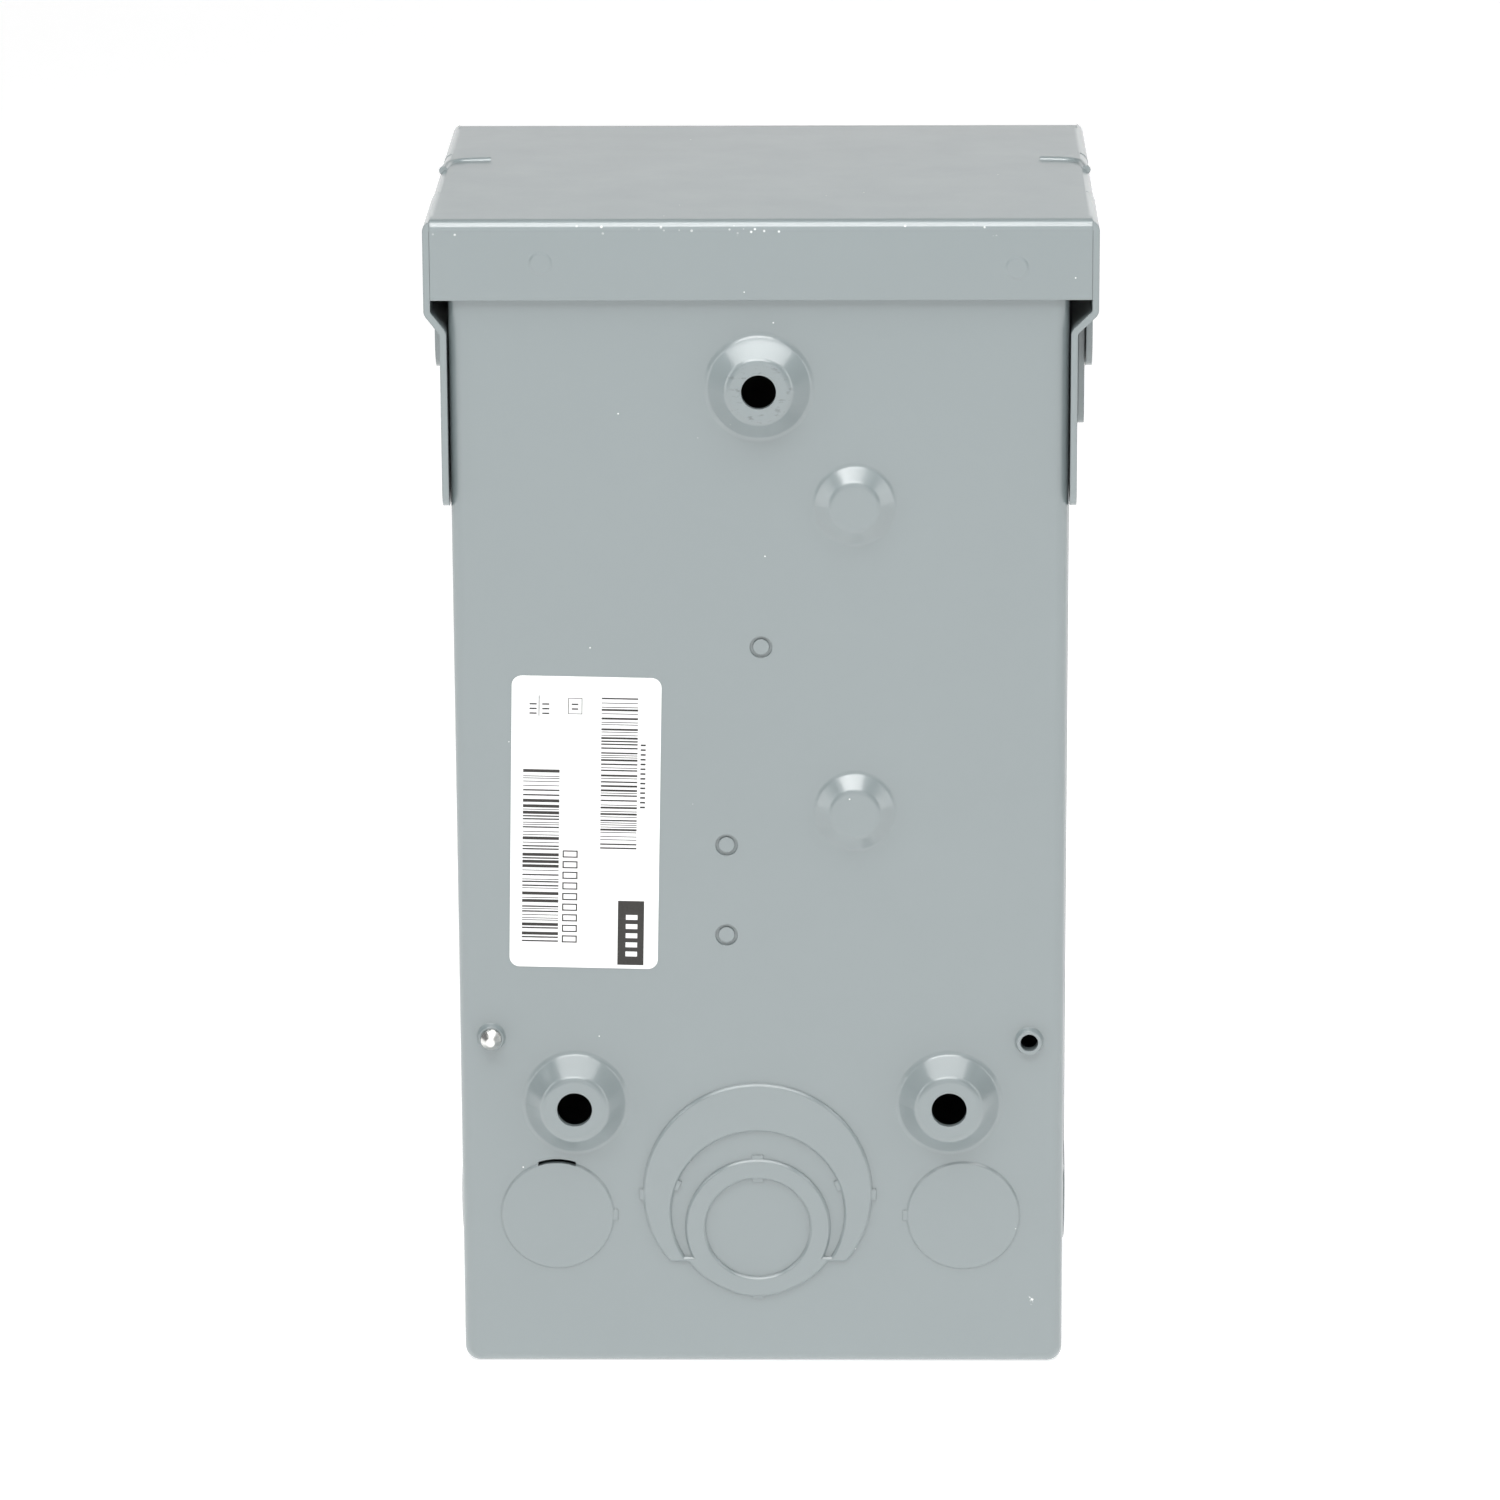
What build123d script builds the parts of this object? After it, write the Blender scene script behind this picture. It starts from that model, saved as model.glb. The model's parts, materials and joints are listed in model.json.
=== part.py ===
from build123d import *
import math
import os

# Small outdoor two-space load center, in millimetres.
#
# Bench coordinates, used by every function below: x to the right as seen from the front,
# depth counted forward from the outer face of the box's back, z up from the box's bottom.
# Depth runs along -Y. The whole model is moved once, in save(), so that the origin is the
# middle of the upper mounting hole, in the plane of the wall.

# ---- driving dimensions ----
BOX_W = 120.65            # outer width of the box, 4 3/4 in
BOX_D = 92.0              # depth of the box, without its mounting bosses
BOX_H = 232.0             # height of the box's walls
T = 1.4                   # sheet thickness of the box
TOTAL_H = 234.95          # height over the hood, 9 1/4 in
HOOD_T = 1.3              # sheet thickness of the hood and door
HOOD_REAR = -1.3          # outer face of the hood's rear flange
HOOD_FRONT = 102.0        # outer face of the hood's front lip
REAR_FLANGE_BOTTOM = 219.3
LIP_BOTTOM = 226.0
BOSS_H = 4.6              # height of the mounting bosses: the air gap to the wall
TOP_HOLE = (0.0, 201.8)
LOW_HOLES = ((-37.35, 55.4), (37.35, 55.4))
HINGE_DEPTH = 88.0        # door hinge axis
HINGE_Z = 209.0
HINGE_R = 2.0
DOOR_FACE = 98.4          # outer face of the closed door
DOOR_BOTTOM = 2.0
DOOR_TOP = 229.0
BREAKER_Z = 147.0         # middle of the breaker, between its two poles
POLE_W = 25.4             # one breaker space, 1 in
CASE_BACK = 20.0
CASE_FRONT = 77.0
CASE_X = 38.0
TRAY_FLOOR = 79.0         # front face of the dead front's recessed floor
PIGTAIL_D = 3.3

HALF_W = BOX_W / 2
INNER_X = HALF_W - T
GAP = 0.3


# ---- helpers ----
def block(x0, x1, d0, d1, z0, z1):
    """Block between two x values, two depths and two heights."""
    middle = Pos((x0 + x1) / 2, -(d0 + d1) / 2, (z0 + z1) / 2)
    return middle * Box(x1 - x0, d1 - d0, z1 - z0)


def rod_depth(x, z, d0, d1, r):
    """Cylinder along the depth."""
    return Pos(x, -(d0 + d1) / 2, z) * Rot(90, 0, 0) * Cylinder(r, d1 - d0)


def rod_x(x0, x1, d, z, r):
    return Pos((x0 + x1) / 2, -d, z) * Rot(0, 90, 0) * Cylinder(r, x1 - x0)


def rod_z(x, d, z0, z1, r):
    return Pos(x, -d, (z0 + z1) / 2) * Cylinder(r, z1 - z0)


def strip_xz(points, radius, thick, d0, d1):
    """Sheet bent along a line of x, z points, between two depths."""
    line = FilletPolyline(*[(x, z) for x, z in points], radius=radius)
    face = trace(line, line_width=thick)
    upright = Plane(origin=(0, -d0, 0), x_dir=(1, 0, 0), z_dir=(0, -1, 0))
    return extrude(upright * face, amount=d1 - d0)


def strip_dz(points, radius, thick, x0, x1):
    """Sheet bent along a line of depth, z points, between two x values."""
    line = FilletPolyline(*[(-d, z) for d, z in points], radius=radius)
    face = trace(line, line_width=thick)
    side = Plane(origin=(x0, 0, 0), x_dir=(0, 1, 0), z_dir=(1, 0, 0))
    return extrude(side * face, amount=x1 - x0)


def strip_xd(points, radius, thick, z0, z1):
    """Sheet bent along a line of x, depth points, between two heights."""
    line = FilletPolyline(*[(x, -d) for x, d in points], radius=radius)
    return Pos(0, 0, z0) * extrude(trace(line, line_width=thick), amount=z1 - z0)


def fillet_edges(shape, edges, radius):
    """Fillet that leaves the shape as it is where no edge was found."""
    return fillet(edges, radius) if len(edges) else shape


def turned(x, z, depth, outline, fillets):
    """Solid of revolution about a depth axis; outline holds radius, height pairs, height outward."""
    face = make_face(Polyline(*outline, close=True))
    for index, radius in fillets:
        r, h = outline[index]
        corner = min(face.vertices(), key=lambda v: abs(v.X - r) + abs(v.Y - h))
        face = fillet(corner, radius)
    spin = Plane(origin=(0, 0, 0), x_dir=(1, 0, 0), z_dir=(0, 0, 1))
    solid = revolve(spin * face, axis=Axis.Y)
    return Pos(x, -depth, z) * solid


def pan_head(x, z, depth, r, h, slot=0.9):
    """Screw head with a crossed slot, its seat at the given depth, standing forward."""
    head = rod_depth(x, z, depth, depth + h, r)
    head = fillet_edges(head, head.faces().sort_by(Axis.Y)[0].edges(), h * 0.35)
    for w, t in ((r * 1.3, slot), (slot, r * 1.3)):
        head -= block(x - w / 2, x + w / 2, depth + h * 0.45, depth + h + 1, z - t / 2, z + t / 2)
    return head


def set_screw(x, z, d0, d1, r):
    """Headless screw with a square socket in its front end."""
    body = rod_depth(x, z, d0, d1, r)
    side = r * 0.5
    return body - block(x - side, x + side, d1 - 2.0, d1 + 1, z - side, z + side)


# ---- box ----
def emboss(x, z, hole_r, flat_r, base_r, height):
    """Round conical emboss raised towards the wall, as thick as the sheet."""
    lip = base_r + 2.0
    inner_flat = flat_r - 0.6
    inner_base = base_r - 0.9
    outline = [
        (hole_r, height - T),
        (hole_r, height),
        (flat_r, height),
        (base_r, 0),
        (lip, 0),
        (lip, -T),
        (inner_base, -T),
        (inner_flat, height - T),
    ]
    return turned(x, z, 0, outline, [(2, 1.7), (3, 1.3), (6, 0.6), (7, 0.6)])


def ring_face(x, z, r_out, r_in):
    face = Pos(x, z) * Circle(r_out)
    return face - Pos(x, z) * Circle(r_in) if r_in > 0 else face


def press(shell, face, level, thick, slope=0.0):
    """Move a region of the back sheet outward by level, its thickness kept and its rim sloped."""
    back = Plane(origin=(0, 0, 0), x_dir=(1, 0, 0), z_dir=(0, -1, 0))
    pad = extrude(back * face, amount=-level)
    if slope:
        pad = chamfer(pad.faces().sort_by(Axis.Y)[-1].edges(), slope)
    inside = Plane(origin=(0, -(thick - level), 0), x_dir=(1, 0, 0), z_dir=(0, -1, 0))
    return shell + pad - extrude(inside * face, amount=level + 0.01)


def score(shell, face, depth=0.5):
    """Cut the scored line of a knockout into the outer face of the back."""
    back = Plane(origin=(0, 0.6, 0), x_dir=(1, 0, 0), z_dir=(0, -1, 0))
    return shell - extrude(back * face, amount=depth + 0.6)


def tie(shell, x, z, r, angle, level):
    """Bridge that holds a knockout's ring: half a step across its edge."""
    back = Plane(origin=(0, -0.3, 0), x_dir=(1, 0, 0), z_dir=(0, -1, 0))
    patch = Pos(x, z) * Rot(0, 0, angle) * Pos(r, 0) * Rectangle(1.5, 2.2)
    return shell + extrude(back * patch, amount=-level / 2 - 0.3)


KO_X = 0.95               # middle of the stepped knockout
KO_SMALL = (29.0, 10.5)   # height and radius of each ring
KO_MID = (29.0, 14.6)
KO_LARGE = (32.1, 17.4)
KO_CRESCENT = (36.5, 23.0)
KO_STEP_Z = 22.9          # where the collar widens to the largest ring
KO_CRESCENT_END = 21.9    # lower ends of the crescent
KO_LEVEL = 0.8
KO_SLOPE = 0.42           # sloped rims of the pressed rings
KO_PLAIN = ((-40.3, 31.6, 0), (41.2, 31.7, 180))
KO_PLAIN_R = 11.4
KO_PLAIN_LEVEL = 0.4
KO_PLAIN_SLOPE = 0.32


def half_plane(z):
    """Everything in the back's face below a height."""
    return Pos(KO_X, z - 30) * Rectangle(80, 60)


def stepped_knockout(shell):
    """Knockout for three conduit sizes, whose rings are pressed alternately in and out."""
    raised = ring_face(KO_X, *KO_CRESCENT, 0) - half_plane(KO_CRESCENT_END)
    raised = fillet(raised.vertices(), 1.3)
    raised -= ring_face(KO_X, *KO_LARGE, 0)
    raised += ring_face(KO_X, *KO_LARGE, 0) & half_plane(KO_STEP_Z)
    raised += ring_face(KO_X, *KO_MID, 0)
    raised -= ring_face(KO_X, *KO_SMALL, 0)
    shell = press(shell, raised, KO_LEVEL, T, KO_SLOPE)
    for ring, angles in ((KO_SMALL, (90,)), (KO_MID, (90,)), (KO_LARGE, (20, 160, 270)), (KO_CRESCENT, (-1, 181))):
        for angle in angles:
            shell = tie(shell, KO_X, *ring, angle, KO_LEVEL)
    return shell


def plain_knockouts(shell):
    """Half-inch conduit knockouts: two in the back, one in each side, three in the bottom."""
    for x, z, angle in KO_PLAIN:
        shell = press(shell, ring_face(x, z, KO_PLAIN_R, 0), KO_PLAIN_LEVEL, T, KO_PLAIN_SLOPE)
        shell = tie(shell, x, z, KO_PLAIN_R, angle, KO_PLAIN_LEVEL)
    x, z, _ = KO_PLAIN[1]
    gap = ring_face(x, z, KO_PLAIN_R + 0.35, KO_PLAIN_R - 0.35) & Pos(x, z + KO_PLAIN_R) * Rectangle(7.5, 3)
    shell = score(shell, gap, T + 0.1)
    for side in (-1, 1):
        shell += rod_x(*sorted((side * (HALF_W - 0.4), side * (HALF_W + 0.55))), 20, 31.6, 11.1)
        shell -= rod_x(*sorted((side * (INNER_X - 0.4), side * (INNER_X + 0.55))), 20, 31.6, 11.1)
    for x, r in ((-38, 11.1), (0, 17.4), (38, 11.1)):
        ring = rod_z(x, 46, -0.01, 0.5, r + 0.15) - rod_z(x, 46, -0.02, 0.51, r - 0.15)
        shell -= ring - block(x - 1.2, x + 1.2, 46, 66, -0.1, 0.6)
    return shell


CLINCHES = ((-0.2, 149.6), (6.8, 109.1), (6.9, 90.5))
BLIND_EMBOSSES = ((-18.6, 178.2), (-18.6, 116.0))
OPEN_PILOT = (-53.3, 68.4)
SCREWED_PILOT = (54.0, 69.2)
FRONT_RETURN = 10.4       # width of the flanges turned in at the front
DOOR_SWEEP_REAR = 63.0    # the walls are cut away here, where the open door's top edge turns in
DOOR_SWEEP_Z = 207.0
COVER_SCREWS = ((-53.5, 26), (53.5, 26), (-53.5, 196), (53.5, 196))


def wrap(half_w, height, d0, d1, z0, corner, bend):
    """Round-bottomed block from which the box's folded sheet is made."""
    outline = Pos(0, (z0 + height) / 2) * Rectangle(2 * half_w, height - z0)
    outline = fillet(outline.vertices().group_by(Axis.Y)[0], corner)
    upright = Plane(origin=(0, -d0, 0), x_dir=(1, 0, 0), z_dir=(0, -1, 0))
    solid = extrude(upright * outline, amount=d1 - d0)
    back = solid.faces().sort_by(Axis.Y)[-1]
    top = back.edges().sort_by(Axis.Z)[-1]
    chain = [e for e in back.edges() if e.center().Z < top.center().Z - 0.1]
    return fillet(chain, bend)


def box_shell():
    shell = wrap(HALF_W, BOX_H, 0, BOX_D, 0, 3.0, 2.4)
    shell -= wrap(INNER_X, BOX_H + 5, T, BOX_D + 5, T, 1.7, 1.1)
    for side in (-1, 1):
        lo, hi = sorted((side * (INNER_X - FRONT_RETURN), side * (INNER_X + 0.2)))
        shell += block(lo, hi, BOX_D - T, BOX_D, T, DOOR_SWEEP_Z)
    shell += block(-INNER_X, INNER_X, BOX_D - T, BOX_D, T - 0.2, 11.9)
    shell -= block(-HALF_W - 1, HALF_W + 1, DOOR_SWEEP_REAR, BOX_D + 1, DOOR_SWEEP_Z, BOX_H + 1)
    for x, z in COVER_SCREWS:
        shell -= rod_depth(x, z, BOX_D - 3, BOX_D + 1, 1.7)
    bosses = [(TOP_HOLE, 3.4, 6.3, 10.3, BOSS_H)]
    bosses += [(hole, 3.5, 6.5, 10.3, BOSS_H) for hole in LOW_HOLES]
    bosses += [(spot, 0.0, 4.8, 8.0, 2.4) for spot in BLIND_EMBOSSES]
    for (x, z), hole_r, flat_r, base_r, height in bosses:
        shell -= rod_depth(x, z, -1, T + 1, base_r + 2.0)
        shell += emboss(x, z, hole_r, flat_r, base_r, height)
    for x, z in CLINCHES:
        shell -= rod_depth(x, z, -0.1, 0.6, 2.2)
        shell += rod_depth(x, z, 0.2, 0.7, 1.6)
    for (x, z), bore in ((OPEN_PILOT, 1.75), (SCREWED_PILOT, 2.05)):
        shell += Pos(x, 0.6, z) * Rot(90, 0, 0) * Cone(2.9, 2.45, 1.4).mirror(Plane.XY)
        shell -= rod_depth(x, z, -3, T + 1, bore)
    shell = plain_knockouts(shell)
    return stepped_knockout(shell)


# ---- hood ----
EAR_X = 61.2              # sheet middle of the ears that hug the box
REAR_X = 65.4             # outer faces of the hood's three side tabs
MID_X = 65.2
FRONT_X = 65.3
REAR_TAB = (-1.3, 28.0)
MID_TAB = (28.8, 68.4)
FRONT_TAB = (69.2, 102.0)
EAR_BOTTOM = 177.7
EAR_TOP = 212.8
JOGGLE_TOP = 216.7
CORNER_SEAM = 0.06        # open seam between the folded flanges at each corner
SPOT_WELDS = ((42.6, 226.6), (-49.5, 225.6))
TAB_BOTTOM = 198.6
HOOD_SHIFT = -0.5         # the hood and door sit a little to one side of the box


def hood_section(outer_x, left, right, d0, d1):
    """Length of the hood: top sheet and both sides, whose lower ends are given as x, z points."""
    x = outer_x - HOOD_T / 2
    z = TOTAL_H - HOOD_T / 2
    return strip_xz(left + [(-x, z), (x, z)] + right, 1.5, HOOD_T, d0, d1)


def round_tab_corners(shape, z, radius):
    """Round the lower corners of the side tabs, as seen from the side."""
    edges = shape.edges().filter_by(Axis.X).filter_by(lambda e: abs(e.center().Z - z) < 0.01)
    return fillet_edges(shape, edges, radius)


def crease(side):
    """Pressed ridge that curves in from the edge of the hood's top."""
    z = TOTAL_H - 0.35
    route = [(side * 64.4, -52.5, z), (side * 63.4, -61.4, z), (side * 55.4, -62.4, z)]
    path = FilletPolyline(*route, radius=4.5)
    start = Plane(origin=route[0], z_dir=Vector(*route[1]) - Vector(*route[0]))
    return sweep(start * Circle(0.9), path=path)


def hood():
    rear_x = REAR_X - HOOD_T / 2
    middle_z = TOTAL_H - HOOD_T / 2
    left = [(-EAR_X - HOOD_SHIFT, EAR_BOTTOM), (-EAR_X - HOOD_SHIFT, EAR_TOP), (-rear_x, JOGGLE_TOP)]
    right = [(rear_x, JOGGLE_TOP), (EAR_X - HOOD_SHIFT, EAR_TOP), (EAR_X - HOOD_SHIFT, EAR_BOTTOM)]
    shape = hood_section(REAR_X, left, right, *REAR_TAB)
    shape = round_tab_corners(shape, EAR_BOTTOM, 4.0)
    for outer_x, span in ((MID_X, MID_TAB), (FRONT_X, FRONT_TAB)):
        x = outer_x - HOOD_T / 2
        tab = hood_section(outer_x, [(-x, TAB_BOTTOM)], [(x, TAB_BOTTOM)], *span)
        shape += round_tab_corners(tab, TAB_BOTTOM, 6.0)
    bridge_x = REAR_X - 1.8
    shape += block(-bridge_x, bridge_x, 27, 70, TOTAL_H - HOOD_T, TOTAL_H)
    rear = HOOD_REAR + HOOD_T / 2
    front = HOOD_FRONT - HOOD_T / 2
    flange_x = REAR_X - HOOD_T - CORNER_SEAM
    lip_x = FRONT_X - HOOD_T - CORNER_SEAM
    shape -= block(-flange_x, flange_x, -5, 2.5, REAR_FLANGE_BOTTOM - 0.3, TOTAL_H + 1)
    shape -= block(-lip_x, lip_x, HOOD_FRONT - 3.5, HOOD_FRONT + 2, LIP_BOTTOM - 0.3, TOTAL_H + 1)
    flange = [(rear, REAR_FLANGE_BOTTOM), (rear, middle_z), (3, middle_z)]
    shape += strip_dz(flange, 1.4, HOOD_T, -flange_x, flange_x)
    lip = [(HOOD_FRONT - 4, middle_z), (front, middle_z), (front, LIP_BOTTOM)]
    shape += strip_dz(lip, 1.4, HOOD_T, -lip_x, lip_x)
    shape -= rod_x(-70, 70, HINGE_DEPTH, HINGE_Z, HINGE_R + 0.02)
    for x, z in SPOT_WELDS:
        shape += Pos(x, -HOOD_REAR, z) * Rot(-90, 0, 0) * Cone(2.7, 1.9, 0.24)
    return Pos(HOOD_SHIFT, 0, 0) * (shape + crease(-1) + crease(1))


# ---- door ----
DOOR_SIDE_X = 62.4        # outer faces of the door's side flanges and hinge ears
DOOR_EAR_X = 63.7
EAR_REAR = 31.0
DOOR_EAR_Z = (186.8, 216.0)
HASP_Z = (12.0, 13.5)


def door_wrap(middle_x, rear, z0, z1):
    """Front sheet with both sides folded back to the given depth."""
    front = DOOR_FACE - HOOD_T / 2
    points = [(-middle_x, rear), (-middle_x, front), (middle_x, front), (middle_x, rear)]
    return strip_xd(points, 1.5, HOOD_T, z0, z1)


def door():
    """Panel folded back along its sides, with a wider pair of hinge ears near the top."""
    panel_x = DOOR_SIDE_X - HOOD_T / 2
    shape = door_wrap(panel_x, 83.0, DOOR_BOTTOM, 183.4)
    shape += door_wrap(DOOR_EAR_X - HOOD_T / 2, 83.0, 184.0, DOOR_EAR_Z[1])
    shape += block(-60, 60, DOOR_FACE - HOOD_T, DOOR_FACE, 177, DOOR_TOP)
    for side in (-1, 1):
        lo, hi = sorted((side * (DOOR_EAR_X - HOOD_T), side * DOOR_EAR_X))
        ear = block(lo, hi, EAR_REAR, 83.5, *DOOR_EAR_Z)
        rear = ear.edges().filter_by(Axis.X).group_by(Axis.Y)[-1]
        shape += fillet(rear, 4.0)
    shape += block(-60.0, 60.0, 93.2, DOOR_FACE - 0.1, DOOR_BOTTOM, DOOR_BOTTOM + HOOD_T)
    for side in (-1, 1):
        lo, hi = sorted((side * (DOOR_EAR_X - 2), side * (DOOR_EAR_X + 1)))
        shape -= rod_x(lo, hi, HINGE_DEPTH, HINGE_Z, HINGE_R + 0.06)
    shape -= block(-11.5, 11.5, DOOR_FACE - 2, DOOR_FACE + 1, HASP_Z[0] - 3.0, HASP_Z[1] + 0.8)
    return Pos(HOOD_SHIFT, 0, 0) * shape


def hinge_pins():
    """Two headed rivets, held in the hood's front tabs."""
    pins = []
    for side in (-1, 1):
        lo, hi = sorted((side * 62.2, side * FRONT_X))
        shank = rod_x(lo, hi, HINGE_DEPTH, HINGE_Z, HINGE_R)
        head = rod_x(*sorted((side * FRONT_X, side * (FRONT_X + 1.1))), HINGE_DEPTH, HINGE_Z, 3.6)
        rim = head.faces().sort_by(Axis.X)[-1 if side > 0 else 0].edges()
        tail = rod_x(*sorted((side * 61.4, side * 62.3)), HINGE_DEPTH, HINGE_Z, 3.2)
        pins.append(Pos(HOOD_SHIFT, 0, 0) * (fillet(rim, 0.7) + shank + tail))
    return Compound(children=pins)


def padlock_hasp():
    """Bracket welded inside the box's bottom, whose eye comes out through the door."""
    plate = strip_dz([(72, T + 0.6), (84, T + 0.6), (84, 12.75), (112, 12.75)], 1.4, 1.2, -9.5, 9.5)
    tip = plate.edges().filter_by(Axis.Z).group_by(Axis.Y)[0]
    plate = fillet_edges(plate, tip, 4.0)
    return plate - rod_z(0, 105.2, 10, 16, 4.0)


# ---- dead front ----
COVER_X = 57.3
COVER_Z = (15.5, 214.0)
TRAY_X = 46.0
TRAY_Z = (64.0, 205.0)
WINDOW_X = (-17.6, 25.6)
WINDOW_Z = POLE_W + 0.8


def dead_front():
    """Steel cover with a recessed tray, whose window lets the breaker's face through."""
    cover = block(-COVER_X, COVER_X, BOX_D + 0.02, BOX_D + 1.02, *COVER_Z)
    cover = fillet(cover.edges().filter_by(Axis.Y), 5.0)
    tray = block(-TRAY_X, TRAY_X, TRAY_FLOOR - 1.0, BOX_D + 0.5, *TRAY_Z)
    tray = fillet(tray.edges().filter_by(Axis.Y), 6.0)
    inside = block(-TRAY_X + 1, TRAY_X - 1, TRAY_FLOOR, BOX_D + 5, TRAY_Z[0] + 1, TRAY_Z[1] - 1)
    inside = fillet(inside.edges().filter_by(Axis.Y), 5.0)
    cover = cover + tray - inside
    cover -= block(*WINDOW_X, TRAY_FLOOR - 3, TRAY_FLOOR + 3, BREAKER_Z - WINDOW_Z, BREAKER_Z + WINDOW_Z)
    for x, z in COVER_SCREWS:
        cover -= rod_depth(x, z, BOX_D - 1, BOX_D + 2, 2.2)
    return cover


def dead_front_screws():
    screws = []
    for x, z in COVER_SCREWS:
        shank = rod_depth(x, z, BOX_D - 5, BOX_D + 1.5, 1.68)
        screws.append(pan_head(x, z, BOX_D + 1.02, 3.4, 2.0) + shank)
    return Compound(children=screws)


# ---- interior ----
RAIL_D = T + 1.2
BASE_X = (-46.0, 49.2)
BASE_Z = (106.0, 188.0)
BASE_FRONT = 19.4
LUG_X = (28.0, 42.2)      # middles of the lower and upper poles' line lugs
LUG_HALF = 6.2            # half the width of a line lug
LUG_Z = (86.0, 102.0)
LUG_BACK = 17.6           # rear faces of the lugs, on the bus bars
BLADE_Z = (BREAKER_Z - POLE_W / 2, BREAKER_Z + POLE_W / 2)


def mounting_rail():
    """Steel rail clinched to the back, with two hooked tabs that hold the insulating base."""
    rail = block(-30, 30, T, RAIL_D, 104, 186) + block(0, 14, T, RAIL_D, 84, 105)
    rail = fillet(rail.edges().filter_by(Axis.Y), 1.5)
    for side in (-1, 1):
        lo, hi = sorted((side * 28.8, side * 30))
        rail += block(lo, hi, T, 12, 138, 156)
        lo, hi = sorted((side * 27.0, side * 30))
        rail += block(lo, hi, 10.8, 12, 138, 156)
    for x, z in BLIND_EMBOSSES:
        rail -= rod_depth(x, z, 0, 5, 5.2)
    for x, z in CLINCHES:
        rail += rod_depth(x, z, RAIL_D, RAIL_D + 0.5, 2.1)
    return rail


def interior_base():
    """Moulded insulator: hollow behind, with channels for the bus bars and walls round the lugs."""
    base = block(*BASE_X, 4.0, BASE_FRONT, *BASE_Z)
    base += block(18.6, BASE_X[1], 4.0, BASE_FRONT, 82, 108)
    base = fillet(base.edges().filter_by(Axis.Y), 1.5)
    base -= block(BASE_X[0] + 2.5, -31, 2, 14, BASE_Z[0] + 2.5, BASE_Z[1] - 2.5)
    base -= block(31, BASE_X[1] - 2.5, 2, 13, BASE_Z[0] + 2.5, BASE_Z[1] - 2.5)
    base -= block(-28, 28, 2, 13, BASE_Z[0] + 2.5, 136)
    base -= block(-28, 28, 2, 13, 158, BASE_Z[1] - 2.5)
    base -= block(-33, 33, 2, 13, 136, 158)
    for x, z in BLIND_EMBOSSES:
        base += rod_depth(x, z, -0.6, 14, 4.2)
    base -= block(LUG_X[0] - 5.2, LUG_X[0] + 5.2, 15.8, 25, 84, 140)
    base -= block(LUG_X[1] - 4.2, LUG_X[1] + 4.2, 15.8, 25, 84, 166)
    base -= block(25, LUG_X[1], 15.8, 25, 152.5, 166)
    pocket = LUG_HALF + 0.2
    base -= block(LUG_X[0] - pocket, LUG_X[0] + pocket, LUG_BACK - 0.1, 25, 80, LUG_Z[1] + 0.3)
    base -= block(LUG_X[1] - pocket, BASE_X[1] + 1, LUG_BACK - 0.1, 25, 80, LUG_Z[1] + 0.3)
    base += block(LUG_X[0] + pocket + 0.2, LUG_X[1] - pocket - 0.2, LUG_BACK - 0.5, 34, 82, 106)
    return base


def bus_bar(pole):
    """Flat bar from a line lug up to the blade that the breaker's jaw grips."""
    x, z = LUG_X[pole], BLADE_Z[pole]
    bar = block(x - 4.0, x + 4.0, 16.0, 17.6, 86, z + 5)
    if pole:
        bar += block(26, x, 16.0, 17.6, z - 6, z + 5)
    bar += block(26, 38 if pole else x + 4.0, 16.0, 30.0, z - 0.8, z + 0.8)
    return bar


def line_lugs():
    lugs = []
    for x in LUG_X:
        lug = block(x - LUG_HALF, x + LUG_HALF, LUG_BACK, 33.0, *LUG_Z)
        lug = fillet(lug.edges().filter_by(Axis.Z), 1.2)
        lug -= rod_z(x, 24.2, 80, 110, 4.4)
        lug -= rod_depth(x, 94, 24, 40, 3.8)
        lugs.append(lug)
    return Compound(children=lugs)


def line_lug_screws():
    return Compound(children=[set_screw(x, 94, 29.2, 36.5, 3.8) for x in LUG_X])


NEUTRAL_X = (-50.0, -6.0)
NEUTRAL_Z = (88.0, 98.0)
NEUTRAL_HOLES = [-44.5 + 8.5 * i for i in range(5)]
PIGTAIL_HOLE_X = NEUTRAL_HOLES[2]


def neutral_insulator():
    """Moulded block that stands the neutral bar off the box."""
    body = block(NEUTRAL_X[0] - 2, NEUTRAL_X[1] + 2, T, 14, NEUTRAL_Z[0] - 2, NEUTRAL_Z[1] + 2)
    body = fillet(body.edges().filter_by(Axis.Y), 1.5)
    body -= block(NEUTRAL_X[0] + 1, NEUTRAL_X[1] - 1, T - 1, 10, NEUTRAL_Z[0] + 0.5, NEUTRAL_Z[1] - 0.5)
    for x in (NEUTRAL_X[0] - 2, NEUTRAL_X[1] + 0.4):
        body += block(x, x + 1.6, 13.5, 20, NEUTRAL_Z[0] - 2, NEUTRAL_Z[1] + 2)
    return body


def neutral_bar():
    bar = block(NEUTRAL_X[0], NEUTRAL_X[1], 14.0, 24.0, *NEUTRAL_Z)
    bar = fillet(bar.edges().filter_by(Axis.X), 0.8)
    for x in NEUTRAL_HOLES:
        bar -= rod_z(x, 18.2, 80, 110, 2.4)
        bar -= rod_depth(x, 93, 18, 30, 2.0)
    return bar


def neutral_screws():
    screws = []
    for x in NEUTRAL_HOLES:
        end = 20.2 if x == PIGTAIL_HOLE_X else 21.0
        screws.append(rod_depth(x, 93, end, 25.5, 1.98) + pan_head(x, 93, 25.4, 3.2, 2.0))
    return Compound(children=screws)


GROUND_Z = (60.0, 102.0)
GROUND_HOLES = [79.0 + 7.2 * i for i in range(3)]


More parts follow.
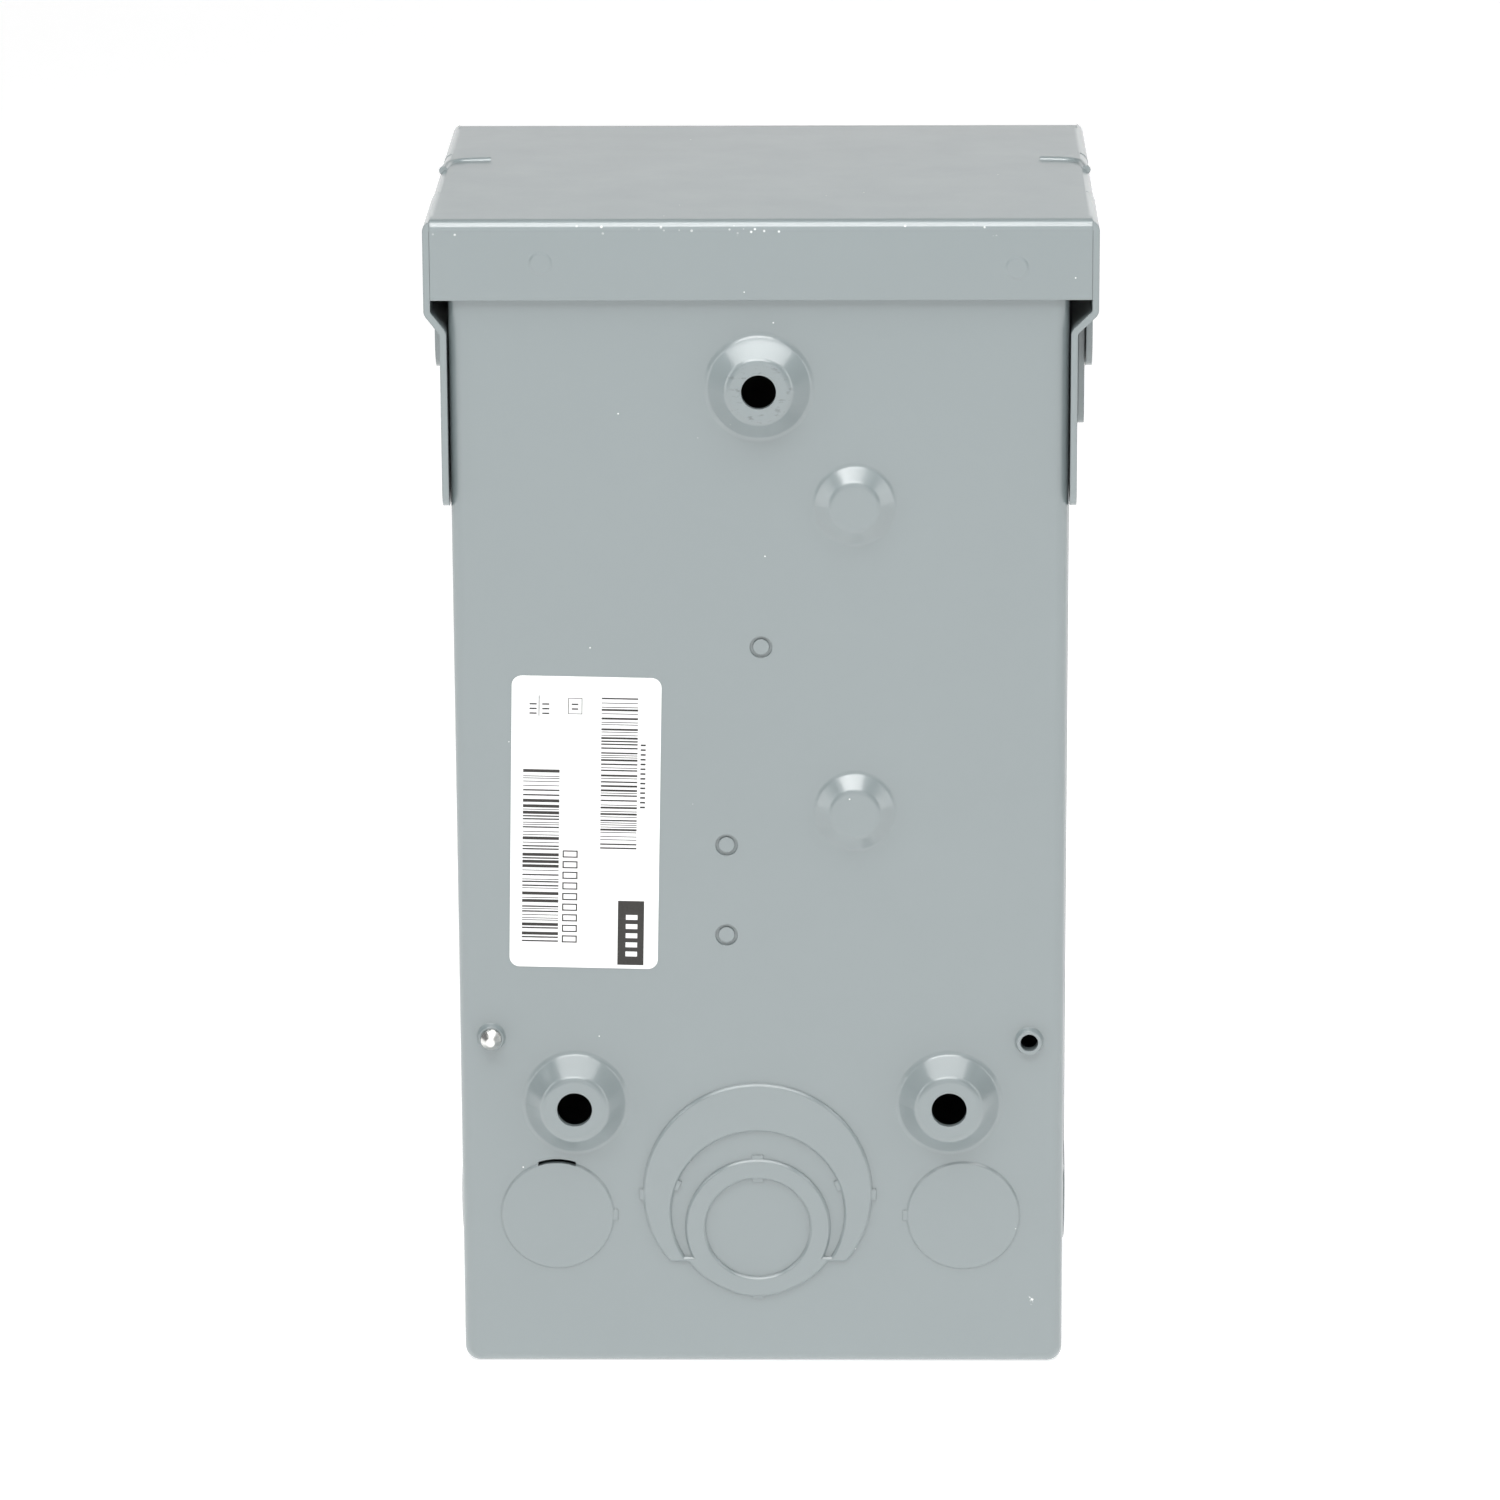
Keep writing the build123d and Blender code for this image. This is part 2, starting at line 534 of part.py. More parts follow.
def ground_bar():
    x, z = SCREWED_PILOT
    bar = block(x - 4.3, x + 4.3, T, 11.0, *GROUND_Z)
    bar = fillet(bar.edges().filter_by(Axis.Z), 0.8)
    bar -= rod_depth(x, z, 0, 15, 2.1)
    for hole_z in GROUND_HOLES:
        bar -= rod_x(x - 6, x + 6, 5.6, hole_z, 2.1)
        bar -= rod_depth(x, hole_z, 5.6, 15, 1.8)
    return bar


def ground_screws():
    x = SCREWED_PILOT[0]
    screws = []
    for z in GROUND_HOLES:
        screws.append(rod_depth(x, z, 8.0, 12.6, 1.78) + pan_head(x, z, 12.4, 3.0, 1.9))
    return Compound(children=screws)


def ground_mount_screw():
    """Self-tapping screw that holds the ground bar; its tip comes out of the back."""
    x, z = SCREWED_PILOT
    shank = rod_depth(x, z, -2.4, 11.5, 1.95)
    shank += Pos(x, 3.15, z) * Rot(-90, 0, 0) * Cone(1.95, 0.9, 1.5)
    for turn in range(5):
        ring = Pos(x, 0.5 + 0.42 * turn, z) * Rot(90, 0, 0) * Torus(1.9, 0.1)
        shank += ring
    return shank + pan_head(x, z, 11.0, 3.6, 2.2)


# ---- breaker ----
FACE_X = (-17.0, 25.0)    # raised middle of the breaker's front
FACE_FRONT = 82.0
HANDLE_X = 8.0
HANDLE_D = 67.0
HANDLE_SWING = 20.0       # either side of straight
SLOT_HALF = 9.6
HANDLE_Z = 17.0           # half the height of the joined handle
BUTTON_X = -9.5
BUTTON_HALF = 3.6
LOAD_X = -31.0


def case_half(sign):
    """One moulded half of the breaker's case, open towards the other half."""
    z0, z1 = sorted((BREAKER_Z, BREAKER_Z + sign * POLE_W))
    inner = sorted((BREAKER_Z - sign * 5, BREAKER_Z + sign * (POLE_W - 2)))
    half = block(-CASE_X, CASE_X, CASE_BACK, CASE_FRONT, z0, z1)
    half += block(*FACE_X, CASE_FRONT - 2, FACE_FRONT, z0, z1)
    half = fillet_edges(half, half.edges().filter_by(Axis.Z).group_by(Axis.Y)[0], 1.5)
    half -= block(-CASE_X + 2, CASE_X - 2, CASE_BACK + 2, CASE_FRONT - 2, *inner)
    half -= block(FACE_X[0] + 2, FACE_X[1] - 2, CASE_FRONT - 4, FACE_FRONT - 2, *inner)
    middle = BREAKER_Z + sign * POLE_W / 2
    half -= block(24, CASE_X + 1, CASE_BACK - 1, 33, middle - 3.2, middle + 3.2)
    half -= block(-CASE_X - 1, -CASE_X + 3, 44, 58, middle - 5.5, middle + 5.5)
    half -= rod_depth(LOAD_X, middle, 70, 80, 4.0)
    slot = block(HANDLE_X - SLOT_HALF, HANDLE_X + SLOT_HALF, 74, 90, BREAKER_Z - HANDLE_Z - 0.4,
                 BREAKER_Z + HANDLE_Z + 0.4)
    half -= slot
    reach = BUTTON_HALF + GAP
    half -= block(BUTTON_X - reach, BUTTON_X + reach, 74, 90, BREAKER_Z - reach, BREAKER_Z + reach)
    if sign < 0:
        half -= rod_x(-CASE_X - 1, -CASE_X + 3, 30, 128, PIGTAIL_D / 2)
    for x, d in RIVETS:
        post = rod_z(x, d, *sorted((BREAKER_Z, BREAKER_Z + sign * (POLE_W - 1))), 3.2)
        half += post
        half -= rod_z(x, d, z0 - 1, z1 + 1, 1.6)
    return half


RIVETS = ((-33.5, 25.5), (19.5, 25.5), (-21.5, 71.4), (33.5, 71.0))


def case_rivets():
    rivets = []
    for x, d in RIVETS:
        body = rod_z(x, d, BREAKER_Z - POLE_W - 0.6, BREAKER_Z + POLE_W + 0.6, 1.6)
        for z in (BREAKER_Z - POLE_W - 0.6, BREAKER_Z + POLE_W):
            body += rod_z(x, d, z, z + 0.6, 2.6)
        rivets.append(body)
    return Compound(children=rivets)


def swung(shape, angle):
    """Turn a shape about the handle's axis."""
    axis = Axis((HANDLE_X, -HANDLE_D, 0), (0, 0, 1))
    return shape.rotate(axis, angle)


def breaker_handle():
    """Wide toggle of both poles, drawn straight and then swung to off."""
    z0, z1 = BREAKER_Z - HANDLE_Z, BREAKER_Z + HANDLE_Z
    drum = rod_z(HANDLE_X, HANDLE_D, z0, z1, 12.2)
    drum &= block(HANDLE_X - 12, HANDLE_X + 12, HANDLE_D - 4.5, HANDLE_D + 13, z0, z1)
    neck = block(HANDLE_X - 3.2, HANDLE_X + 3.2, HANDLE_D, 91.5, z0, z1)
    neck = fillet(neck.edges().filter_by(Axis.Z).group_by(Axis.Y)[0], 2.2)
    neck -= block(HANDLE_X - 5, HANDLE_X + 5, 84.5, 95, BREAKER_Z - 4, BREAKER_Z + 4)
    handle = drum + neck - rod_z(HANDLE_X, HANDLE_D, z0 - 1, z1 + 1, 2.05)
    return swung(handle, HANDLE_SWING)


def handle_tie():
    """Metal bar let in between the two toggles."""
    bar = block(HANDLE_X - 2.6, HANDLE_X + 2.6, 84.5, 90.6, BREAKER_Z - 4, BREAKER_Z + 4)
    bar = fillet(bar.edges().filter_by(Axis.Z).group_by(Axis.Y)[0], 1.2)
    return swung(bar, HANDLE_SWING)


def handle_pin():
    return rod_z(HANDLE_X, HANDLE_D, BREAKER_Z - POLE_W + 2, BREAKER_Z + POLE_W - 2, 2.0)


def test_button():
    """Push button with a flange behind the case's front."""
    head = block(BUTTON_X - BUTTON_HALF, BUTTON_X + BUTTON_HALF, 78.5, 84.6,
                 BREAKER_Z - BUTTON_HALF, BREAKER_Z + BUTTON_HALF)
    head = fillet(head.edges().group_by(Axis.Y)[0], 0.8)
    flange = BUTTON_HALF + 1.2
    head += block(BUTTON_X - flange, BUTTON_X + flange, 77.7, 79.7, BREAKER_Z - flange, BREAKER_Z + flange)
    return head + block(BUTTON_X - 2, BUTTON_X + 2, 75.0, 78.0, BREAKER_Z - 2, BREAKER_Z + 2)


def line_jaws():
    """Spring jaws that grip the bus blades, each with its fixed contact."""
    jaws = []
    for z in BLADE_Z:
        jaw = block(27, 35.4, 23, 33, z - 1.7, z - 0.8) + block(27, 35.4, 23, 33, z + 0.8, z + 1.7)
        jaw += block(27, 35.4, 32, 33, z - 1.7, z + 1.7)
        jaw += block(27, 29, 33, 48, z - 1.7, z + 1.7)
        jaw += block(19.5, 29, 48, 49.4, z - 2.2, z + 2.2)
        jaws.append(jaw)
    return Compound(children=jaws)


ARM_X = 8.0
ARM_D = 38.0
ARM_OPEN = 12.0


def contact_arms():
    """Moving contact arms of both poles on one insulating cross shaft, drawn open."""
    axis = Axis((ARM_X, -ARM_D, 0), (0, 0, 1))
    arms = rod_z(ARM_X, ARM_D, BREAKER_Z - 20, BREAKER_Z + 20, 3.4)
    for z in BLADE_Z:
        arms += block(ARM_X, 24.6, 44.0, 47.6, z - 1.6, z + 1.6)
        arms += block(ARM_X - 3, ARM_X + 3, ARM_D, 47.6, z - 1.6, z + 1.6)
    arms -= rod_z(ARM_X, ARM_D, BREAKER_Z - 30, BREAKER_Z + 30, 1.3)
    return arms.rotate(axis, ARM_OPEN)


def arm_shaft():
    return rod_z(ARM_X, ARM_D, BREAKER_Z - POLE_W + 2, BREAKER_Z + POLE_W - 2, 1.25)


def load_lugs():
    lugs = []
    for z in BLADE_Z:
        lug = block(-36, -26, 46, 58, z - 5, z + 5)
        lug = fillet(lug.edges().filter_by(Axis.X), 1.0)
        lug -= rod_x(-40, -20, 51, z, 3.2)
        lug -= rod_depth(LOAD_X, z, 52, 64, 2.9)
        lugs.append(lug + block(-26, -20, 46, 47.4, z - 4, z + 4))
    return Compound(children=lugs)


def load_screws():
    screws = []
    for z in BLADE_Z:
        screws.append(set_screw(LOAD_X, z, 54.2, 67.5, 2.88))
    return Compound(children=screws)


def circuit_board():
    """Ground-fault board with its components, standing across the case."""
    board = block(-26, -5.5, 60.5, 62.1, BREAKER_Z - 21, BREAKER_Z + 21)
    for x, z, w, h in ((-20, 12, 8, 5), (-20, -13, 9, 5.5), (-10, 13, 5, 4), (-10, -14, 6, 7)):
        board += block(x - w / 2, x + w / 2, 62.1, 62.1 + h, BREAKER_Z + z - 4, BREAKER_Z + z + 4)
    board += rod_depth(-20, BREAKER_Z, 62.1, 67.8, 3.2)
    board += block(BUTTON_X - 3, BUTTON_X + 3, 62.1, 72.5, BREAKER_Z - 3, BREAKER_Z + 3)
    return board


def sensor_ring():
    """Current transformer that both poles and the neutral pass through."""
    ring = rod_x(-16, -6, 38, BREAKER_Z, 12.5) - rod_x(-17, -5, 38, BREAKER_Z, 6.5)
    return fillet(ring.edges(), 1.2)


def neutral_pigtail():
    """White lead from the breaker's end, down the side and up into the neutral bar."""
    drop = -51.6
    loop_z = 62.5
    end_x = PIGTAIL_HOLE_X
    route = [
        (-CASE_X + 1.5, -30.0, 128.0),
        (-45.6, -30.0, 128.0),
        (drop, -29.6, 121.6),
        (drop, -27.0, 96.0),
        (drop, -24.0, 73.0),
        (drop + 6.1, -22.0, loop_z),
        (end_x - 6.1, -20.0, loop_z),
        (end_x, -18.6, 73.0),
        (end_x, -18.2, 90.5),
    ]
    points = [Vector(*p) for p in route]
    radii = []
    for before, here, after in zip(points, points[1:], points[2:]):
        turn = math.radians((here - before).get_angle(after - here))
        shorter = min((here - before).length, (after - here).length)
        radii.append(0.45 * shorter / math.tan(turn / 2))
    path = FilletPolyline(*route, radius=radii)
    start = Plane(origin=route[0], z_dir=points[1] - points[0])
    return sweep(start * Circle(PIGTAIL_D / 2), path=path)


# ---- labels ----
LABEL_T = 0.16


def rear_label():
    tag = Pos(34.75, 113.7) * Rot(0, 0, 1.25) * RectangleRounded(29.5, 59.9, 2.0)
    back = Plane(origin=(0, 0, 0), x_dir=(1, 0, 0), z_dir=(0, -1, 0))
    return extrude(back * tag, amount=-LABEL_T)


def door_label():
    tag = Pos(HOOD_SHIFT, 128) * RectangleRounded(96.0, 130.0, 3.0)
    inner = Plane(origin=(0, -(DOOR_FACE - HOOD_T), 0), x_dir=(1, 0, 0), z_dir=(0, -1, 0))
    return extrude(inner * tag, amount=-LABEL_T)


PARTS = {
    "box_shell": box_shell,
    "hood": hood,
    "door": door,
    "door_label": door_label,
    "hinge_pins": hinge_pins,
    "padlock_hasp": padlock_hasp,
    "rear_label": rear_label,
    "dead_front": dead_front,
    "dead_front_screws": dead_front_screws,
    "mounting_rail": mounting_rail,
    "interior_base": interior_base,
    "bus_bar_lower": lambda: bus_bar(0),
    "bus_bar_upper": lambda: bus_bar(1),
    "line_lugs": line_lugs,
    "line_lug_screws": line_lug_screws,
    "neutral_insulator": neutral_insulator,
    "neutral_bar": neutral_bar,
    "neutral_screws": neutral_screws,
    "neutral_pigtail": neutral_pigtail,
    "ground_bar": ground_bar,
    "ground_screws": ground_screws,
    "ground_mount_screw": ground_mount_screw,
    "breaker_case_lower": lambda: case_half(-1),
    "breaker_case_upper": lambda: case_half(1),
    "case_rivets": case_rivets,
    "breaker_handle": breaker_handle,
    "handle_tie": handle_tie,
    "handle_pin": handle_pin,
    "test_button": test_button,
    "line_jaws": line_jaws,
    "contact_arms": contact_arms,
    "arm_shaft": arm_shaft,
    "load_lugs": load_lugs,
    "load_screws": load_screws,
    "circuit_board": circuit_board,
    "sensor_ring": sensor_ring,
}


def save():
    """Write every piece, moved so that the origin is the upper mounting hole at the wall."""
    os.makedirs("parts", exist_ok=True)
    to_origin = Pos(-TOP_HOLE[0], -BOSS_H, -TOP_HOLE[1])
    for node, make in PARTS.items():
        export_step(to_origin * make(), "parts/" + node + ".step")


save()
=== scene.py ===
import json
import math
import random

import bmesh
import bpy
from mathutils import Matrix, Vector


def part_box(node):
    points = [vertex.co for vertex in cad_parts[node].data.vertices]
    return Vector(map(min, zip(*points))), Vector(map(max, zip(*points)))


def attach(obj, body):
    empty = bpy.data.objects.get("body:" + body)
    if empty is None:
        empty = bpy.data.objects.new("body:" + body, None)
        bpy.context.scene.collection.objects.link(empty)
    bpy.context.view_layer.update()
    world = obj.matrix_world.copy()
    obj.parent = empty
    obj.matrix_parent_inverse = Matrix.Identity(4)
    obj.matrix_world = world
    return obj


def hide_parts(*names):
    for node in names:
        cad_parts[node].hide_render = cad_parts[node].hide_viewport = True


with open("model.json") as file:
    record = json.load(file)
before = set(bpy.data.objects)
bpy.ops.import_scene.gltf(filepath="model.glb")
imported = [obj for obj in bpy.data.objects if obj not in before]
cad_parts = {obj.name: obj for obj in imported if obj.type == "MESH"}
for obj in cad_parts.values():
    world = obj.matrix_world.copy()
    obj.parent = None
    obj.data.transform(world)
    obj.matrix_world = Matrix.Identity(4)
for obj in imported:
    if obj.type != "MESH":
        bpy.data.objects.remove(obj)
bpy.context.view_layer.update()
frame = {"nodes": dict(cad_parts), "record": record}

MM = 0.001
BOX_LO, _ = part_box("box_shell")
FLOOR_Z = BOX_LO.z
BACK_Y = -0.0046          # outer face of the back sheet: the bosses stand proud of it
LABEL_TILT = 1.25         # degrees that the rear label leans
PAPER = 0.16              # thickness of both labels, in mm
PRINT = 0.172             # height of the printing's face, in mm
random.seed(50)


# ---- camera: behind the panel and a little above it ----
def make_camera():
    """Long lens, 15.6 degrees above the horizon, almost square to the back."""
    elevation = math.radians(15.623)
    yaw = math.radians(181.014)
    roll = math.radians(-0.286)
    distance = 1.34597
    target = Vector((0.002067, BACK_Y, FLOOR_Z + 0.128664))
    forward = Vector((-math.sin(yaw) * math.cos(elevation), math.cos(yaw) * math.cos(elevation), -math.sin(elevation)))
    right = forward.cross(Vector((0, 0, 1))).normalized()
    up = right.cross(forward)
    tilt_right = math.cos(roll) * right + math.sin(roll) * up
    tilt_up = -math.sin(roll) * right + math.cos(roll) * up
    data = bpy.data.cameras.new("camera")
    data.lens = 163.86
    data.sensor_width = 36.0
    data.clip_end = 50
    camera = bpy.data.objects.new("camera", data)
    place = Matrix.Identity(4)
    for row in range(3):
        place[row][0] = tilt_right[row]
        place[row][1] = tilt_up[row]
        place[row][2] = -forward[row]
        place[row][3] = (target - forward * distance)[row]
    camera.matrix_world = place
    bpy.context.scene.collection.objects.link(camera)
    bpy.context.scene.camera = camera


# ---- light and floor ----
def area_light(name, place, target, size, power):
    data = bpy.data.lights.new(name, "AREA")
    data.shape = "RECTANGLE"
    data.size, data.size_y = size
    data.energy = power
    light = bpy.data.objects.new(name, data)
    light.location = place
    light.rotation_mode = "QUATERNION"
    light.rotation_quaternion = (Vector(target) - Vector(place)).to_track_quat("-Z", "Y")
    bpy.context.scene.collection.objects.link(light)


def make_studio():
    """Soft lights: most of them behind the panel, where the camera is."""
    world = bpy.data.worlds.new("studio")
    world.use_nodes = True
    background = world.node_tree.nodes["Background"]
    background.inputs["Color"].default_value = (1, 1, 1, 1)
    background.inputs["Strength"].default_value = 0.2
    bpy.context.scene.world = world
    bpy.context.scene.view_settings.view_transform = "Standard"
    area_light("key", (0.15, 1.0, 1.25), (0, 0, -0.05), (1.3, 0.5), 13.5)
    area_light("low_key", (0.0, 1.6, 0.35), (0, 0, -0.1), (1.3, 0.6), 3.4)
    area_light("overhead", (0.0, 0.42, 1.15), (0, 0, -0.05), (1.8, 0.3), 6.5)
    area_light("strip", (0.0, 0.02, 0.2), (0, 0.02, 0), (0.5, 0.04), 0.33)
    area_light("left", (1.4, 0.55, 0.3), (0, 0, -0.1), (0.35, 1.4), 4.0)
    area_light("right", (-1.4, 0.55, 0.3), (0, 0, -0.1), (0.35, 1.4), 4.0)
    area_light("door_side", (-0.8, -1.6, 0.9), (0, 0, -0.1), (1.4, 1.2), 2.0)


def make_floor():
    """One pale sheet that curves up far behind, as a studio sweep does."""
    mesh = bpy.data.meshes.new("floor")
    bm = bmesh.new()
    steps = 48
    radius = 0.8
    near_y, far_y = 4.0, -2.0
    profile = [(near_y, 0.0), (far_y, 0.0)]
    for step in range(1, steps + 1):
        turn = step * math.pi / 2 / steps
        profile.append((far_y - radius * math.sin(turn), radius * (1 - math.cos(turn))))
    rows = []
    for y, z in profile:
        rows.append([bm.verts.new((x, y, FLOOR_Z + z)) for x in (-5.0, 5.0)])
    for low, high in zip(rows, rows[1:]):
        face = bm.faces.new((low[0], low[1], high[1], high[0]))
        face.smooth = True
    bm.to_mesh(mesh)
    bm.free()
    floor = bpy.data.objects.new("floor", mesh)
    floor.data.materials.append(floor_material())
    bpy.context.scene.collection.objects.link(floor)


# ---- material helpers ----
class Nodes:
    """Short way to add and join the nodes of one material."""

    def __init__(self, name):
        self.material = bpy.data.materials.new(name)
        self.material.use_nodes = True
        self.tree = self.material.node_tree
        self.shader = self.tree.nodes["Principled BSDF"]
        self.place = self.add("ShaderNodeTexCoord").outputs["Object"]

    def add(self, kind, **values):
        node = self.tree.nodes.new(kind)
        for key, value in values.items():
            setattr(node, key, value)
        return node

    def link(self, source, socket):
        self.tree.links.new(source, socket)

    def set(self, **values):
        for key, value in values.items():
            self.shader.inputs[key.replace("_", " ")].default_value = value

    def noise(self, scale, detail=3.0, roughness=0.55, stretch=(1, 1, 1)):
        mapping = self.add("ShaderNodeMapping")
        mapping.inputs["Scale"].default_value = stretch
        self.link(self.place, mapping.inputs["Vector"])
        node = self.add("ShaderNodeTexNoise")
        node.inputs["Scale"].default_value = scale
        node.inputs["Detail"].default_value = detail
        node.inputs["Roughness"].default_value = roughness
        self.link(mapping.outputs["Vector"], node.inputs["Vector"])
        return node.outputs["Fac"]

    def cells(self, scale):
        node = self.add("ShaderNodeTexVoronoi")
        node.inputs["Scale"].default_value = scale
        self.link(self.place, node.inputs["Vector"])
        return node.outputs["Distance"]

    def axis(self, name):
        node = self.add("ShaderNodeSeparateXYZ")
        self.link(self.place, node.inputs["Vector"])
        return node.outputs[name]

    def ramp(self, source, stops):
        node = self.add("ShaderNodeValToRGB")
        elements = node.color_ramp.elements
        while len(elements) < len(stops):
            elements.new(0.5)
        for element, (at, colour) in zip(elements, stops):
            element.position = at
            element.color = colour if len(colour) == 4 else (*colour, 1)
        self.link(source, node.inputs["Fac"])
        return node.outputs["Color"]

    def grey(self, source, lo, hi, v0=0.0, v1=1.0):
        node = self.add("ShaderNodeMapRange")
        for key, value in (("From Min", lo), ("From Max", hi), ("To Min", v0), ("To Max", v1)):
            node.inputs[key].default_value = value
        self.link(source, node.inputs["Value"])
        return node.outputs["Result"]

    def mix(self, amount, first, second):
        node = self.add("ShaderNodeMix", data_type="RGBA")
        for socket, value in ((node.inputs["Factor"], amount), (node.inputs["A"], first), (node.inputs["B"], second)):
            if isinstance(value, (int, float, tuple)):
                socket.default_value = value
            else:
                self.link(value, socket)
        return node.outputs["Result"]

    def math(self, operation, first, second=0.0):
        node = self.add("ShaderNodeMath", operation=operation)
        for socket, value in zip(node.inputs, (first, second)):
            if isinstance(value, (int, float)):
                socket.default_value = value
            else:
                self.link(value, socket)
        return node.outputs["Value"]

    def near(self, centre, radius, soft):
        """1 at a point and 0 beyond radius, with a soft edge, in metres."""
        node = self.add("ShaderNodeVectorMath", operation="DISTANCE")
        self.link(self.place, node.inputs[0])
        node.inputs[1].default_value = centre
        return self.grey(node.outputs["Value"], radius, radius - soft)

    def bump(self, height, distance, strength=1.0, rounded=0.0):
        node = self.add("ShaderNodeBump")
        if rounded:
            edge = self.add("ShaderNodeBevel", samples=6)
            edge.inputs["Radius"].default_value = rounded
            self.link(edge.outputs["Normal"], node.inputs["Normal"])
            self.link(edge.outputs["Normal"], self.shader.inputs["Coat Normal"])
        node.inputs["Distance"].default_value = distance
        node.inputs["Strength"].default_value = strength
        self.link(height, node.inputs["Height"])
        self.link(node.outputs["Normal"], self.shader.inputs["Normal"])

    def colour(self, source):
        self.link(source, self.shader.inputs["Base Color"])

    def roughness(self, source):
        self.link(source, self.shader.inputs["Roughness"])


def floor_material():
    m = Nodes("studio_floor")
    m.colour(m.ramp(m.noise(3.0), [(0.3, (0.86, 0.86, 0.86)), (0.7, (0.88, 0.88, 0.88))]))
    m.set(Roughness=0.9, Specular_IOR_Level=0.1, Emission_Strength=0.6, Emission_Color=(1, 1, 1, 1))
    return m.material


def grey_paint():
    """Baked powder coat that rounds the sheet's edges, with specks of dust and a few worn spots."""
    m = Nodes("grey_paint")
    tone = m.ramp(m.noise(14, 4), [(0.3, (0.196, 0.232, 0.238)), (0.7, (0.204, 0.241, 0.247))])
    dust = m.grey(m.cells(120), 0.022, 0.014)
    rubbed = m.math("MULTIPLY", m.grey(m.axis("Z"), 0.0300, 0.0306), m.grey(m.axis("Z"), 0.0325, 0.0318))
    rubbed = m.math("MULTIPLY", rubbed, m.grey(m.axis("Y"), -0.006, -0.005))
    rubbed = m.math("MULTIPLY", rubbed, m.grey(m.noise(75, 2), 0.54, 0.6))
    rubbed = m.math("MULTIPLY", rubbed, m.grey(m.cells(620), 0.2, 0.1))
    nick = m.math("MULTIPLY", m.near((-0.0541, BACK_Y, -0.1882), 0.0011, 0.0004), m.grey(m.noise(1100, 3), 0.53, 0.6))
    tone = m.mix(m.math("MAXIMUM", m.math("MAXIMUM", dust, rubbed), nick), tone, (0.72, 0.74, 0.74, 1))
    rim = m.math("SUBTRACT", m.near((0, 0, 0), 0.0072, 0.0012), m.near((0, 0, 0), 0.0037, 0.0002))
    scuff = m.math("MULTIPLY", rim, m.grey(m.noise(420, 4, 0.65, (1, 1, 2.2)), 0.56, 0.68))
    tone = m.mix(m.math("MULTIPLY", scuff, 0.6), tone, (0.06, 0.065, 0.075, 1))
    m.colour(tone)
    m.roughness(m.grey(m.noise(60, 5), 0.3, 0.7, 0.3, 0.36))
    peel = m.math("ADD", m.noise(420, 2), m.math("MULTIPLY", m.noise(110, 2), 0.8))
    m.bump(peel, 0.00002, 0.35, rounded=0.0003)
    m.set(Specular_IOR_Level=0.8, Coat_Weight=0.8, Coat_Roughness=0.19, Coat_IOR=1.6)
    return m.material


def plain_metal(name, dark, light, roughness, grain=(1, 1, 12), scale=240):
    """Bare or plated metal with a drawn grain."""
    m = Nodes(name)
    streak = m.noise(scale, 4, 0.6, grain)
    m.colour(m.ramp(streak, [(0.3, dark), (0.7, light)]))
    m.roughness(m.grey(m.noise(90, 4), 0.3, 0.7, roughness - 0.07, roughness + 0.08))
    m.set(Metallic=1.0)
    m.bump(streak, 0.00003, 0.5)
    return m.material


def moulding(name, dark, light, roughness):
    """Moulded plastic with a fine grain."""
    m = Nodes(name)
    m.colour(m.ramp(m.noise(40, 5), [(0.3, dark), (0.7, light)]))
    m.roughness(m.grey(m.noise(220, 3), 0.3, 0.7, roughness - 0.06, roughness + 0.06))
    m.bump(m.noise(1500, 2), 0.00004, 0.6)
    return m.material


def label_film():
    m = Nodes("label_film")
    m.colour(m.ramp(m.noise(500, 3), [(0.3, (0.88, 0.88, 0.88)), (0.7, (0.92, 0.92, 0.92))]))
    m.roughness(m.grey(m.noise(200, 3), 0.3, 0.7, 0.42, 0.52))
    m.bump(m.noise(900, 3), 0.00002, 0.3)
    return m.material


def ink():
    m = Nodes("label_ink")
    m.colour(m.ramp(m.noise(2500, 3), [(0.3, (0.022, 0.020, 0.018)), (0.75, (0.034, 0.031, 0.028))]))
    m.roughness(m.grey(m.noise(400, 3), 0.3, 0.7, 0.5, 0.62))
    return m.material


MATERIALS = {
    "grey_paint": grey_paint(),
    "label_film": label_film(),
    "zinc_steel": plain_metal("zinc_steel", (0.62, 0.62, 0.60), (0.78, 0.78, 0.76), 0.3),
    "galvanised": plain_metal("galvanised", (0.42, 0.44, 0.46), (0.62, 0.63, 0.64), 0.42, (1, 1, 1), 60),
    "black_moulding": moulding("black_moulding", (0.018, 0.018, 0.019), (0.032, 0.032, 0.033), 0.5),
    "grey_moulding": moulding("grey_moulding", (0.07, 0.072, 0.076), (0.10, 0.102, 0.106), 0.55),
    "tinned_bus": plain_metal("tinned_bus", (0.6, 0.6, 0.58), (0.74, 0.74, 0.72), 0.34),
    "lug_aluminium": plain_metal("lug_aluminium", (0.58, 0.58, 0.57), (0.72, 0.72, 0.71), 0.38),
    "copper": plain_metal("copper", (0.6, 0.3, 0.17), (0.75, 0.4, 0.24), 0.33),
    "white_lead": moulding("white_lead", (0.78, 0.78, 0.76), (0.85, 0.85, 0.83), 0.35),
    "button_yellow": moulding("button_yellow", (0.8, 0.52, 0.03), (0.86, 0.58, 0.05), 0.32),
    "board_green": moulding("board_green", (0.012, 0.09, 0.03), (0.02, 0.13, 0.05), 0.4),
    "ferrite": moulding("ferrite", (0.02, 0.025, 0.06), (0.03, 0.035, 0.08), 0.35),
    "ground_green": plain_metal("ground_green", (0.03, 0.2, 0.06), (0.05, 0.28, 0.09), 0.35),
}
INK = ink()


